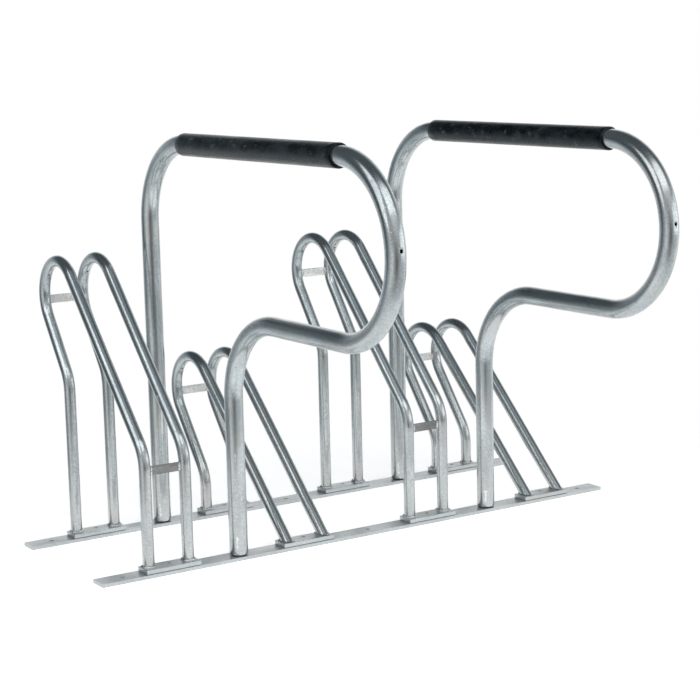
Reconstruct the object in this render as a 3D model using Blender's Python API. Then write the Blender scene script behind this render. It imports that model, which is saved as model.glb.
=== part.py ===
# Bicycle rack for four cycles: wheel holders at two heights between two ground rails,
# with two lean-on loops that steady the frames.
#
# Metres, +Z up. X runs along the rails, Y from the front rail to the rear rail, and the
# floor is Z = 0. Inside the rack, Y = 0 is the centre line of the front rail.

import math

import bmesh
import bpy
from mathutils import Matrix, Vector

# Ground rails
RAIL_LENGTH = 1.400
RAIL_WIDTH = 0.050
RAIL_THICKNESS = 0.008
RAIL_SPACING = 0.375
ANCHOR_HOLE_DIAMETER = 0.011
ANCHOR_HOLE_INSET = 0.058

# Places along the rails
PLACE_COUNT = 4
PLACE_PITCH = 0.350

# Foot plates of the wheel holders
PLATE_LENGTH = 0.135
PLATE_WIDTH = 0.045
PLATE_THICKNESS = 0.010
PLATE_HOLE_DIAMETER = 0.0088
FOOT_SETBACK = 0.0065

# Wheel hoops
HOOP_DIAMETER = 0.0269
HOOP_WALL = 0.0023
HOOP_GAUGE = 0.098
LOOP_RADIUS = 0.087
HOOP_BEND_RADIUS = 0.087
TALL_LOOP_SETBACK = 0.410
TALL_LOOP_HEIGHT = 0.572
TALL_REAR_STRAIGHT_TOP = 0.355
TALL_FRONT_STRAIGHT_TOP = 0.235
LOW_LOOP_SETBACK = 0.428
LOW_LOOP_HEIGHT = 0.305
LOW_REAR_STRAIGHT_TOP = 0.072
WELD_LEG = 0.0025
HOOP_VENT_DIAMETER = 0.005
HOOP_VENT_ANGLE = math.radians(42.0)

# Cross bars between the two hoops of a holder
BAR_WIDTH = 0.020
BAR_THICKNESS = 0.005
UPPER_BAR_ANGLE = math.radians(-8.0)
LOWER_BAR_HEIGHT = 0.232

# Lean-on loops
LEAN_DIAMETER = 0.0424
LEAN_WALL = 0.0026
LEAN_HEIGHT = 0.925
LEAN_BEND_RADIUS = 0.187
NOSE_RADIUS = 0.187
NOSE_REACH = 0.650
LEAN_VENT_DIAMETER = 0.008
LEAN_VENT_ANGLE = math.radians(4.0)

# Grip sleeves on the lean-on loops
SLEEVE_WALL = 0.0045
SLEEVE_END_MARGIN = 0.002

# Plugs in the feet of the lean-on loops
PLUG_STANDOFF = 0.0020
PLUG_DEPTH = 0.015
PLUG_BORE_DIAMETER = 0.0088

# Countersunk screws from below
SCREW_DIAMETER = 0.008
SCREW_HEAD_DIAMETER = 0.015
SCREW_RIM = 0.0006
SCREW_RECESS = 0.0005
SCREW_HOLE_DIAMETER = 0.009
PLATE_SCREW_SHORTFALL = 0.0025
PLUG_SCREW_REACH = 0.012

# Edges, clearance and facets
FLAT_BAR_EDGE = 0.0008
SMALL_EDGE = 0.0005
CLEARANCE = 0.0003
BEND_STEP = math.radians(16.0)
HOOP_SIDES = 12
HOOP_BORE_SIDES = 8
LEAN_SIDES = 16
LEAN_BORE_SIDES = 10
SCREW_SIDES = 12
CUTTER_OVERSHOOT = 0.002
SMOOTH_ANGLE = math.radians(40.0)

# Levels and places that follow from the sizes above
RAIL_TOP = RAIL_THICKNESS
PLATE_BASE = RAIL_TOP + CLEARANCE
PLATE_TOP = PLATE_BASE + PLATE_THICKNESS
HOOP_SEAT = PLATE_TOP + CLEARANCE
PLUG_BASE = RAIL_TOP + CLEARANCE
LEAN_SEAT = PLUG_BASE + PLUG_STANDOFF
HOOP_RADIUS = HOOP_DIAMETER / 2
LEAN_RADIUS = LEAN_DIAMETER / 2
LEAN_BORE_RADIUS = LEAN_RADIUS - LEAN_WALL
LOWER_BAR_LEVEL = LEAN_HEIGHT - 2 * NOSE_RADIUS
TALL = "tall"
LOW = "low"


def clear_objects():
    """Start from an empty scene."""
    for item in list(bpy.data.objects):
        bpy.data.objects.remove(item, do_unlink=True)


# Materials


def make_material(name, color, metallic, roughness):
    """A plain surface of one colour."""
    material = bpy.data.materials.new(name)
    material.use_nodes = True
    shader = material.node_tree.nodes["Principled BSDF"]
    shader.inputs["Base Color"].default_value = (*color, 1.0)
    shader.inputs["Metallic"].default_value = metallic
    shader.inputs["Roughness"].default_value = roughness
    material.diffuse_color = (*color, 1.0)
    return material


def make_materials():
    return {
        "tube": make_material("galvanized_tube", (0.56, 0.60, 0.62), 0.9, 0.34),
        "flat_bar": make_material("galvanized_flat_bar", (0.48, 0.53, 0.55), 0.9, 0.48),
        "screw": make_material("zinc_plated_screw", (0.42, 0.43, 0.44), 1.0, 0.40),
        "plug": make_material("dark_foot_plug", (0.10, 0.11, 0.12), 0.8, 0.50),
        "sleeve": make_material("black_sleeve", (0.022, 0.024, 0.028), 0.0, 0.55),
    }


# Meshes


def finish_mesh(bm, name, material):
    """Turn a bmesh into a mesh with outward faces and smooth round sides."""
    bmesh.ops.recalc_face_normals(bm, faces=bm.faces)
    mesh = bpy.data.meshes.new(name)
    bm.to_mesh(mesh)
    bm.free()
    mesh.materials.append(material)
    mesh.shade_smooth()
    mesh.set_sharp_from_angle(angle=SMOOTH_ANGLE)
    return mesh


def flat_block(bm, length, width, thickness, edge):
    """A flat bar from z = 0 to its thickness, centred in x and y, with broken edges."""
    block = bmesh.ops.create_cube(bm, size=1.0)
    bmesh.ops.scale(bm, vec=(length, width, thickness), verts=block["verts"])
    bmesh.ops.translate(bm, vec=(0.0, 0.0, thickness / 2), verts=block["verts"])
    bmesh.ops.bevel(bm, geom=bm.edges[:], offset=edge, segments=1, affect="EDGES")


def turn_profile(bm, profile, sides):
    """Turn (radius, z) points round the Z axis. A profile that leaves the axis is closed."""
    points = [bm.verts.new((radius, 0.0, z)) for radius, z in profile]
    edges = [bm.edges.new(pair) for pair in zip(points, points[1:])]
    if profile[0][0] > 0.0:
        edges.append(bm.edges.new((points[-1], points[0])))
    bmesh.ops.spin(
        bm, geom=points + edges, cent=(0.0, 0.0, 0.0), axis=(0.0, 0.0, 1.0),
        angle=2 * math.pi, steps=sides, use_duplicate=False, use_merge=True,
    )
    bmesh.ops.remove_doubles(bm, verts=bm.verts[:], dist=1e-6)


def turned_mesh(name, profile, sides, material):
    bm = bmesh.new()
    turn_profile(bm, profile, sides)
    return finish_mesh(bm, name, material)


def cut_mesh(mesh, cutter_meshes):
    """The mesh with the cutters taken away, as a new mesh."""
    body = bpy.data.objects.new("body_to_cut", mesh)
    bpy.context.scene.collection.objects.link(body)
    cutters = []
    for cutter_mesh in cutter_meshes:
        cutter = bpy.data.objects.new("cutter", cutter_mesh)
        bpy.context.scene.collection.objects.link(cutter)
        cut = body.modifiers.new("cut", "BOOLEAN")
        cut.operation = "DIFFERENCE"
        cut.solver = "EXACT"
        cut.object = cutter
        cutters.append(cutter)
    graph = bpy.context.evaluated_depsgraph_get()
    graph.update()
    result = bpy.data.meshes.new_from_object(body.evaluated_get(graph))
    result.name = mesh.name + "_cut"
    result.shade_smooth()
    result.set_sharp_from_angle(angle=SMOOTH_ANGLE)
    for item in [body, *cutters]:
        bpy.data.objects.remove(item, do_unlink=True)
    return result


# Routes of the bent tubes, in the YZ plane. A bend is the centre of its circle and its
# radius, positive where the tube turns from +Y towards +Z and negative the other way.


def heading_vector(heading):
    return Vector((math.cos(heading), math.sin(heading)))


def left_of(heading):
    return Vector((-math.sin(heading), math.cos(heading)))


def tangent_heading(centre_a, radius_a, centre_b, radius_b):
    """Heading of the straight run that leaves one bend circle and meets the next."""
    between = centre_b - centre_a
    offset = radius_b - radius_a
    run = math.sqrt(between.length_squared - offset * offset)
    return math.atan2(between.y, between.x) - math.atan2(offset, run)


def plan_route(start, bends, end, end_heading=None):
    """Straight runs and turns of a tube that starts upwards and passes round each bend."""
    heading = math.pi / 2
    here = start
    steps = []
    for index, (centre, radius) in enumerate(bends):
        if index + 1 < len(bends):
            next_heading = tangent_heading(centre, radius, *bends[index + 1])
        elif end_heading is None:
            next_heading = tangent_heading(centre, radius, end, 0.0)
        else:
            next_heading = end_heading
        turn = (next_heading - heading) % (2 * math.pi)
        if radius < 0.0:
            turn -= 2 * math.pi
        touch = centre - radius * left_of(heading)
        steps.append({"run": (touch - here).length, "heading": heading, "centre": centre, "turn": turn})
        heading = next_heading
        here = centre - radius * left_of(heading)
    steps.append({"run": (end - here).length, "heading": heading, "centre": None, "turn": 0.0})
    return steps


def ring_edges(verts):
    """The edges that join the given vertices to one another."""
    chosen = set(verts)
    return [edge for vert in verts for edge in vert.link_edges if edge.other_vert(vert) in chosen]


def advance_ring(bm, verts, offset):
    """Extrude an open ring of vertices along an offset."""
    edges = list(set(ring_edges(verts)))
    made = bmesh.ops.extrude_edge_only(bm, edges=edges)
    moved = [item for item in made["geom"] if isinstance(item, bmesh.types.BMVert)]
    bmesh.ops.translate(bm, vec=offset, verts=moved)
    return moved


def flatten_ring(verts, heading, level):
    """Slide a ring along its heading until it lies flat at a level."""
    along = heading_vector(heading)
    for vert in verts:
        reach = (level - vert.co.z) / along.y
        vert.co.y += along.x * reach
        vert.co.z = level


def sweep_wall(bm, radius, sides, start, route, level):
    """Sweep a circle along a route, with both ends cut flat at one level."""
    placed = Matrix.Translation((0.0, start.x, level))
    circle = bmesh.ops.create_circle(bm, segments=sides, radius=radius, matrix=placed)
    first = circle["verts"]
    ring = first
    lift = level - start.y
    for step in route:
        along = heading_vector(step["heading"]) * (step["run"] - lift)
        lift = 0.0
        ring = advance_ring(bm, ring, (0.0, along.x, along.y))
        if step["turn"] == 0.0:
            flatten_ring(ring, step["heading"], level)
            continue
        made = bmesh.ops.spin(
            bm, geom=ring + list(set(ring_edges(ring))),
            cent=(0.0, step["centre"].x, step["centre"].y), axis=(1.0, 0.0, 0.0),
            angle=step["turn"], steps=math.ceil(abs(step["turn"]) / BEND_STEP - 1e-6),
            use_duplicate=False,
        )
        ring = [item for item in made["geom_last"] if isinstance(item, bmesh.types.BMVert)]
    return first, ring


def flare_foot(bm, ring, heading, leg):
    """The fillet weld of a foot: the wall spreads by one leg over the last leg of height."""
    along = heading_vector(heading)
    spread = advance_ring(bm, ring, Vector((0.0, along.x, along.y)) * (-leg / along.y))
    middle = sum((vert.co for vert in spread), Vector()) / len(spread)
    for vert in spread:
        outward = vert.co - middle
        outward.z = 0.0
        vert.co += outward.normalized() * leg
    return spread


def close_end(bm, outer, inner):
    """The flat ring between the outer wall and the bore."""
    edges = list(set(ring_edges(outer) + ring_edges(inner)))
    bmesh.ops.triangle_fill(bm, edges=edges, use_beauty=True)


def bent_tube_mesh(name, start, route, radius, wall, sides, bore_sides, weld_leg, material):
    """A hollow bent tube, open at both feet."""
    bm = bmesh.new()
    outer = sweep_wall(bm, radius, sides, start, route, start.y + weld_leg)
    if weld_leg > 0.0:
        headings = (route[0]["heading"], route[-1]["heading"])
        outer = [flare_foot(bm, ring, heading, weld_leg) for ring, heading in zip(outer, headings)]
    inner = sweep_wall(bm, radius - wall, bore_sides, start, route, start.y)
    for outer_ring, inner_ring in zip(outer, inner):
        close_end(bm, outer_ring, inner_ring)
    return finish_mesh(bm, name, material)


def drilled_tube(mesh, diameter, depth, place, direction):
    """The tube with one vent hole drilled into its wall from a point outside it."""
    bm = bmesh.new()
    profile = [(0.0, -CUTTER_OVERSHOOT), (diameter / 2, -CUTTER_OVERSHOOT), (diameter / 2, depth), (0.0, depth)]
    turn_profile(bm, profile, SCREW_SIDES)
    turn = Vector((0.0, 0.0, 1.0)).rotation_difference(direction).to_matrix().to_4x4()
    bm.transform(Matrix.Translation(place) @ turn)
    drill = finish_mesh(bm, "vent_drill", mesh.materials[0])
    return cut_mesh(mesh, [drill])


# Wheel holders


def hoop_loop(style):
    """Centre of a hoop's loop."""
    if style == TALL:
        return Vector((TALL_LOOP_SETBACK, TALL_LOOP_HEIGHT))
    return Vector((LOW_LOOP_SETBACK, LOW_LOOP_HEIGHT))


def hoop_route(style):
    """Rear foot, rear bend, loop and front foot of a hoop."""
    rear_foot = Vector((RAIL_SPACING + FOOT_SETBACK, HOOP_SEAT))
    rear_top = TALL_REAR_STRAIGHT_TOP if style == TALL else LOW_REAR_STRAIGHT_TOP
    rear_bend = (Vector((rear_foot.x + HOOP_BEND_RADIUS, rear_top)), -HOOP_BEND_RADIUS)
    loop = (hoop_loop(style), LOOP_RADIUS)
    if style == LOW:
        front_foot = Vector((0.0, HOOP_SEAT))
        return rear_foot, plan_route(rear_foot, [rear_bend, loop], front_foot)
    front_foot = Vector((FOOT_SETBACK, HOOP_SEAT))
    front_bend = (Vector((front_foot.x + HOOP_BEND_RADIUS, TALL_FRONT_STRAIGHT_TOP)), HOOP_BEND_RADIUS)
    down = -math.pi / 2
    return rear_foot, plan_route(rear_foot, [rear_bend, loop, front_bend], front_foot, down)


def hoop_mesh(style, material):
    """One bent hoop with its vent hole on the inner side of the loop."""
    start, route = hoop_route(style)
    plain = bent_tube_mesh(
        style + "_hoop", start, route, HOOP_RADIUS, HOOP_WALL,
        HOOP_SIDES, HOOP_BORE_SIDES, WELD_LEG, material,
    )
    outward = heading_vector(HOOP_VENT_ANGLE)
    centre = hoop_loop(style)
    inner_side = centre + outward * (LOOP_RADIUS - HOOP_RADIUS)
    place = Vector((0.0, inner_side.x, inner_side.y))
    direction = Vector((0.0, outward.x, outward.y))
    return drilled_tube(plain, HOOP_VENT_DIAMETER, HOOP_WALL + CUTTER_OVERSHOOT, place, direction)


def plate_mesh(material):
    """A foot plate. Its hole is at the origin, on the line of the hoops' feet."""
    bm = bmesh.new()
    flat_block(bm, PLATE_LENGTH, PLATE_WIDTH, PLATE_THICKNESS, FLAT_BAR_EDGE)
    bmesh.ops.translate(bm, vec=(0.0, -FOOT_SETBACK, 0.0), verts=bm.verts[:])
    plain = finish_mesh(bm, "foot_plate", material)
    return cut_mesh(plain, [hole_cutter(PLATE_HOLE_DIAMETER, PLATE_THICKNESS, material)])


def bar_mesh(material):
    """A flat cross bar along X that fills the space between two hoops."""
    bm = bmesh.new()
    length = HOOP_GAUGE - HOOP_DIAMETER - 2 * CLEARANCE
    flat_block(bm, length, BAR_WIDTH, BAR_THICKNESS, SMALL_EDGE)
    bmesh.ops.translate(bm, vec=(0.0, 0.0, -BAR_THICKNESS / 2), verts=bm.verts[:])
    return finish_mesh(bm, "cross_bar", material)


def hole_cutter(diameter, depth, material):
    """A plain drill through a flat bar that lies on z = 0."""
    radius = diameter / 2
    top = depth + CUTTER_OVERSHOOT
    profile = [(0.0, -CUTTER_OVERSHOOT), (radius, -CUTTER_OVERSHOOT), (radius, top), (0.0, top)]
    return turned_mesh("drill", profile, SCREW_SIDES, material)


# Screws


def screw_profile(reach, grow, bottom):
    """Countersunk outline with its head down, from the axis at the bottom to the axis at the top."""
    shank = SCREW_DIAMETER / 2 + grow
    head = SCREW_HEAD_DIAMETER / 2 + grow
    rim = SCREW_RECESS + SCREW_RIM
    cone_top = rim + head - shank
    return [(0.0, bottom), (head, bottom), (head, rim), (shank, cone_top), (shank, reach), (0.0, reach)]


def screw_mesh(name, reach, material):
    """A countersunk screw whose head lies just above z = 0."""
    return turned_mesh(name, screw_profile(reach, 0.0, SCREW_RECESS), SCREW_SIDES, material)


def screw_seat_cutter(material):
    """Through hole and countersink for a screw, in a rail that lies on z = 0."""
    grow = (SCREW_HOLE_DIAMETER - SCREW_DIAMETER) / 2
    profile = screw_profile(RAIL_THICKNESS + CUTTER_OVERSHOOT, grow, -CUTTER_OVERSHOOT)
    return turned_mesh("screw_seat", profile, SCREW_SIDES, material)


# Rails


def place_x(index):
    """Centre of a place along the rails, from 0 at the left end."""
    return (index - (PLACE_COUNT - 1) / 2) * PLACE_PITCH


def lean_x(index):
    """A lean-on loop stands midway between the two places of a pair."""
    return (place_x(2 * index) + place_x(2 * index + 1)) / 2


def moved_copy(mesh, x, y):
    """A copy of a cutter's mesh at a place on the rail."""
    copy = mesh.copy()
    copy.transform(Matrix.Translation((x, y, 0.0)))
    return copy


def rail_mesh(material):
    """A ground rail with anchor holes and countersunk screw holes."""
    bm = bmesh.new()
    flat_block(bm, RAIL_LENGTH, RAIL_WIDTH, RAIL_THICKNESS, FLAT_BAR_EDGE)
    plain = finish_mesh(bm, "ground_rail", material)
    anchor = hole_cutter(ANCHOR_HOLE_DIAMETER, RAIL_THICKNESS, material)
    seat = screw_seat_cutter(material)
    anchor_x = RAIL_LENGTH / 2 - ANCHOR_HOLE_INSET
    cutters = [moved_copy(anchor, x, 0.0) for x in (-anchor_x, 0.0, anchor_x)]
    cutters += [moved_copy(seat, place_x(index), FOOT_SETBACK) for index in range(PLACE_COUNT)]
    cutters += [moved_copy(seat, lean_x(index), 0.0) for index in range(PLACE_COUNT // 2)]
    return cut_mesh(plain, cutters)


# Lean-on loops


def lean_loop_mesh(material):
    """Rear leg, top bar, half-round nose, lower bar and front leg in one bent tube."""
    start = Vector((RAIL_SPACING, LEAN_SEAT))
    top_bend = Vector((RAIL_SPACING - LEAN_BEND_RADIUS, LEAN_HEIGHT - LEAN_BEND_RADIUS))
    nose = Vector((NOSE_RADIUS - NOSE_REACH, LEAN_HEIGHT - NOSE_RADIUS))
    front_bend = Vector((-LEAN_BEND_RADIUS, LOWER_BAR_LEVEL - LEAN_BEND_RADIUS))
    bends = [(top_bend, LEAN_BEND_RADIUS), (nose, NOSE_RADIUS), (front_bend, -LEAN_BEND_RADIUS)]
    route = plan_route(start, bends, Vector((0.0, LEAN_SEAT)), -math.pi / 2)
    plain = bent_tube_mesh(
        "lean_loop", start, route, LEAN_RADIUS, LEAN_WALL, LEAN_SIDES, LEAN_BORE_SIDES, 0.0, material,
    )
    outward = Vector((-math.cos(LEAN_VENT_ANGLE), math.sin(LEAN_VENT_ANGLE)))
    outer_side = nose + outward * (NOSE_RADIUS + LEAN_RADIUS)
    place = Vector((0.0, outer_side.x, outer_side.y))
    direction = Vector((0.0, -outward.x, -outward.y))
    return drilled_tube(plain, LEAN_VENT_DIAMETER, LEAN_WALL + CUTTER_OVERSHOOT, place, direction)


def sleeve_span():
    """Ends of the grip sleeve along Y, on the straight part of the top bar."""
    rear = RAIL_SPACING - LEAN_BEND_RADIUS - SLEEVE_END_MARGIN
    front = NOSE_RADIUS - NOSE_REACH + SLEEVE_END_MARGIN
    return front, rear


def sleeve_mesh(material):
    """A tube with softened ends, along Z from its middle. Its facets follow the tube inside."""
    front, rear = sleeve_span()
    half = (rear - front) / 2
    bore = LEAN_RADIUS + CLEARANCE
    outside = bore + SLEEVE_WALL
    profile = [
        (bore, -half), (outside - SMALL_EDGE, -half), (outside, -half + SMALL_EDGE),
        (outside, half - SMALL_EDGE), (outside - SMALL_EDGE, half), (bore, half),
    ]
    return turned_mesh("grip_sleeve", profile, LEAN_SIDES, material)


def plug_mesh(material):
    """A round plug with a threaded bore, from its seat on the rail up into the tube."""
    facet_shrink = math.cos(math.pi / LEAN_BORE_SIDES)
    outside = LEAN_BORE_RADIUS * facet_shrink - CLEARANCE
    top = PLUG_STANDOFF + PLUG_DEPTH
    bore = PLUG_BORE_DIAMETER / 2
    profile = [(bore, 0.0), (outside, 0.0), (outside, top - SMALL_EDGE), (outside - SMALL_EDGE, top), (bore, top)]
    return turned_mesh("foot_plug", profile, LEAN_SIDES, material)


# Assembly


def add_empty(name, parent, location):
    empty = bpy.data.objects.new(name, None)
    bpy.context.scene.collection.objects.link(empty)
    empty.parent = parent
    empty.location = location
    return empty


def add_piece(name, mesh, parent, location, rotation=(0.0, 0.0, 0.0)):
    piece = bpy.data.objects.new(name, mesh)
    bpy.context.scene.collection.objects.link(piece)
    piece.parent = parent
    piece.location = location
    piece.rotation_euler = rotation
    return piece


def build_holder(number, style, x, meshes, rack):
    """Two hoops on two foot plates, with their cross bars and the screws from below."""
    holder = add_empty(f"holder_{number}", rack, (x, 0.0, 0.0))
    for side, offset in (("left", -HOOP_GAUGE / 2), ("right", HOOP_GAUGE / 2)):
        add_piece(f"hoop_{number}_{side}", meshes[style + "_hoop"], holder, (offset, 0.0, 0.0))
    for end, line in (("front", FOOT_SETBACK), ("rear", RAIL_SPACING + FOOT_SETBACK)):
        add_piece(f"foot_plate_{number}_{end}", meshes["plate"], holder, (0.0, line, PLATE_BASE))
        add_piece(f"plate_screw_{number}_{end}", meshes["plate_screw"], holder, (0.0, line, 0.0))
    loop = hoop_loop(style)
    spot = loop + heading_vector(UPPER_BAR_ANGLE) * LOOP_RADIUS
    upper_turn = (UPPER_BAR_ANGLE + math.pi / 2, 0.0, 0.0)
    add_piece(f"cross_bar_{number}_upper", meshes["bar"], holder, (0.0, spot.x, spot.y), upper_turn)
    if style == TALL:
        spot = (0.0, FOOT_SETBACK, LOWER_BAR_HEIGHT)
        add_piece(f"cross_bar_{number}_lower", meshes["bar"], holder, spot, (math.pi / 2, 0.0, 0.0))


def build_lean(number, x, meshes, rack):
    """A lean-on loop with its grip sleeve, foot plugs and screws from below."""
    stand = add_empty(f"lean_{number}", rack, (x, 0.0, 0.0))
    add_piece(f"lean_loop_{number}", meshes["lean_loop"], stand, (0.0, 0.0, 0.0))
    middle = sum(sleeve_span()) / 2
    add_piece(f"lean_sleeve_{number}", meshes["sleeve"], stand, (0.0, middle, LEAN_HEIGHT), (math.pi / 2, 0.0, 0.0))
    for end, line in (("front", 0.0), ("rear", RAIL_SPACING)):
        add_piece(f"lean_plug_{number}_{end}", meshes["plug"], stand, (0.0, line, PLUG_BASE))
        add_piece(f"lean_screw_{number}_{end}", meshes["plug_screw"], stand, (0.0, line, 0.0))


def make_meshes(materials):
    plate_screw_top = PLATE_TOP - PLATE_SCREW_SHORTFALL
    plug_screw_top = PLUG_BASE + PLUG_SCREW_REACH
    return {
        "rail": rail_mesh(materials["flat_bar"]),
        "plate": plate_mesh(materials["flat_bar"]),
        "bar": bar_mesh(materials["flat_bar"]),
        TALL + "_hoop": hoop_mesh(TALL, materials["tube"]),
        LOW + "_hoop": hoop_mesh(LOW, materials["tube"]),
        "lean_loop": lean_loop_mesh(materials["tube"]),
        "sleeve": sleeve_mesh(materials["sleeve"]),
        "plug": plug_mesh(materials["plug"]),
        "plate_screw": screw_mesh("plate_screw", plate_screw_top, materials["screw"]),
        "plug_screw": screw_mesh("plug_screw", plug_screw_top, materials["screw"]),
    }


def rack_middle(meshes):
    """Middle of the rack's depth, from the noses to the backs of the wheel loops."""
    front = min(vert.co.y for vert in meshes["lean_loop"].vertices)
    rear = max(vert.co.y for style in (TALL, LOW) for vert in meshes[style + "_hoop"].vertices)
    return (front + rear) / 2


def build_rack():
    clear_objects()
    meshes = make_meshes(make_materials())
    rack = add_empty("rack", None, (0.0, -rack_middle(meshes), 0.0))
    add_piece("rail_front", meshes["rail"], rack, (0.0, 0.0, 0.0))
    add_piece("rail_rear", meshes["rail"], rack, (0.0, RAIL_SPACING, 0.0))
    for index in range(PLACE_COUNT):
        style = TALL if index % 2 == 0 else LOW
        build_holder(index + 1, style, place_x(index), meshes, rack)
    for index in range(PLACE_COUNT // 2):
        build_lean(index + 1, lean_x(index), meshes, rack)


build_rack()
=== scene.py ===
# Looks of the bicycle rack: fine bent tubes, weld beads, zinc runs, grip sleeves and
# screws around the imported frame, with a pale floor, soft studio light and the camera.
#
# Metres, +Z up. X runs along the rails and Y from the front rail to the rear rail.

import math

import bmesh
import bpy
import numpy as np
from mathutils import Matrix, Vector, noise


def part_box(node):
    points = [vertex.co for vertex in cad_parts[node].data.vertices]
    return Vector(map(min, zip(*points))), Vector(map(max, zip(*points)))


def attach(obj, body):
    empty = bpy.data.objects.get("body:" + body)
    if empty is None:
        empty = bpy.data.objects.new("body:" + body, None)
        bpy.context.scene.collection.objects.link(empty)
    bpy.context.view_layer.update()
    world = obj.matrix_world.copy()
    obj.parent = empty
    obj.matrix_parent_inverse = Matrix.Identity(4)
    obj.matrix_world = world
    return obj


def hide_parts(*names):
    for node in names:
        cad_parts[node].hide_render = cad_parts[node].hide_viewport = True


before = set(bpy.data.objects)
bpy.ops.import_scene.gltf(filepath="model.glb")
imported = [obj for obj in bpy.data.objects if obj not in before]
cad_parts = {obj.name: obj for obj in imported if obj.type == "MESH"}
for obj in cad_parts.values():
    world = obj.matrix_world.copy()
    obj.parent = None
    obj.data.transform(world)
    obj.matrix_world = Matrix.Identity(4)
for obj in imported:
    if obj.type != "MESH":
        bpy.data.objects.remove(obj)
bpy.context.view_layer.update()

# Sizes that the tubes follow, as in the CAD
HOOP_RADIUS = 0.0269 / 2
HOOP_WALL = 0.0023
LOOP_RADIUS = 0.087
HOOP_BEND_RADIUS = 0.087
FOOT_SETBACK = 0.0065
TALL_LOOP_SETBACK = 0.410
TALL_LOOP_HEIGHT = 0.572
TALL_REAR_STRAIGHT_TOP = 0.355
TALL_FRONT_STRAIGHT_TOP = 0.235
LOW_LOOP_SETBACK = 0.428
LOW_LOOP_HEIGHT = 0.305
LOW_REAR_STRAIGHT_TOP = 0.072
HOOP_VENT_RADIUS = 0.0025
HOOP_VENT_ANGLE = math.radians(42.0)
BAR_WIDTH = 0.020
BAR_THICKNESS = 0.005
UPPER_BAR_ANGLE = math.radians(-8.0)
LOWER_BAR_HEIGHT = 0.232
LEAN_RADIUS = 0.0424 / 2
LEAN_WALL = 0.0026
LEAN_HEIGHT = 0.925
LEAN_BEND_RADIUS = 0.187
NOSE_RADIUS = 0.187
NOSE_REACH = 0.650
LEAN_VENT_RADIUS = 0.004
LEAN_VENT_ANGLE = math.radians(4.0)
PLACES = (1, 2, 3, 4)
LEANS = (1, 2)
ENDS = ("front", "rear")

# Places read from the frame
RAIL_BOXES = {end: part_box(f"rail_{end}") for end in ENDS}
FRONT_LINE = (RAIL_BOXES["front"][0].y + RAIL_BOXES["front"][1].y) / 2
RAIL_SPACING = (RAIL_BOXES["rear"][0].y + RAIL_BOXES["rear"][1].y) / 2 - FRONT_LINE
PLATE_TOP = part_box("foot_plate_1_front")[1].z
HOOP_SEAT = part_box("hoop_1_left")[0].z
LEAN_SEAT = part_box("lean_loop_1")[0].z

# Fineness of the meshes, and the steps of their making
TUBE_SIDES = 40
LEAN_SIDES = 56
SLEEVE_SIDES = 72
ROUND_SIDES = 40
BEND_STEP = math.radians(3.0)
STRAIGHT_STEP = 0.012
END_ROUNDING = 0.0016
END_SHARES = (0.12, 0.3, 0.6, 1.0)
OVERSHOOT = 0.002
MERGE_DISTANCE = 1e-6
SMOOTH_ANGLE = math.radians(35.0)
ROUNDING_ANGLE = math.radians(40.0)
ROUNDING_SEGMENTS = 3
BAR_ROUNDING = 0.0009
PLATE_ROUNDING = 0.0012

# Camera fitted to the photograph, whose frame is 700 pixels square
IMAGE_SIDE = 700
FOCAL_PIXELS = 1830.4
CAMERA_PLACE = (-2.3068, -3.4369, 1.1459)
CAMERA_YAW = math.radians(32.89)
CAMERA_PITCH = math.radians(-9.56)
CAMERA_ROLL = math.radians(-1.37)
SENSOR_WIDTH = 36.0


# Objects


def add_object(name, data):
    """An object with its data, put into the scene."""
    item = bpy.data.objects.new(name, data)
    bpy.context.scene.collection.objects.link(item)
    return item


def add_piece(name, mesh, material, replaced=()):
    """A piece that rides on the rack and may stand for CAD nodes."""
    mesh.materials.clear()
    mesh.materials.append(material)
    piece = add_object(name, mesh)
    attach(piece, "root")
    if replaced:
        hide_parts(*replaced)
    return piece


def mesh_from_rings(name, rings, closed_rings):
    """A mesh skinned over equal rings of points. Closed rings join the last to the first."""
    count, sides = rings.shape[:2]
    index = np.arange(count * sides).reshape(count, sides)
    following = np.roll(index, -1, axis=1)
    last = count if closed_rings else count - 1
    faces = []
    for row in range(last):
        upper = (row + 1) % count
        quads = np.stack([index[row], following[row], following[upper], index[upper]], axis=1)
        faces.extend(quads.tolist())
    mesh = bpy.data.meshes.new(name)
    mesh.from_pydata(rings.reshape(-1, 3).tolist(), [], faces)
    return mesh


def tidy_normals(mesh, angle=SMOOTH_ANGLE):
    """The mesh with its faces turned outwards and edges sharper than the angle kept sharp."""
    bm = bmesh.new()
    bm.from_mesh(mesh)
    bmesh.ops.recalc_face_normals(bm, faces=bm.faces)
    bm.to_mesh(mesh)
    bm.free()
    mesh.shade_smooth()
    mesh.set_sharp_from_angle(angle=angle)
    return mesh


def finished_mesh(bm, name):
    """The mesh of what was built, which goes."""
    mesh = bpy.data.meshes.new(name)
    bm.to_mesh(mesh)
    bm.free()
    return mesh


def revolved_mesh(name, profile, sides):
    """Turn (radius, z) points round the Z axis. A profile off the axis makes a ring."""
    bm = bmesh.new()
    points = [bm.verts.new((radius, 0.0, z)) for radius, z in profile]
    edges = [bm.edges.new(pair) for pair in zip(points, points[1:])]
    if profile[0][0] > 0.0:
        edges.append(bm.edges.new((points[-1], points[0])))
    bmesh.ops.spin(
        bm, geom=points + edges, cent=(0.0, 0.0, 0.0), axis=(0.0, 0.0, 1.0),
        angle=2 * math.pi, steps=sides, use_duplicate=False, use_merge=True,
    )
    bmesh.ops.remove_doubles(bm, verts=bm.verts[:], dist=MERGE_DISTANCE)
    return tidy_normals(finished_mesh(bm, name))


def pin_mesh(radius, low, high, sides=ROUND_SIDES):
    """A solid pin on the Z axis, to cut with."""
    return revolved_mesh("pin", [(0.0, low), (radius, low), (radius, high), (0.0, high)], sides)


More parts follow.
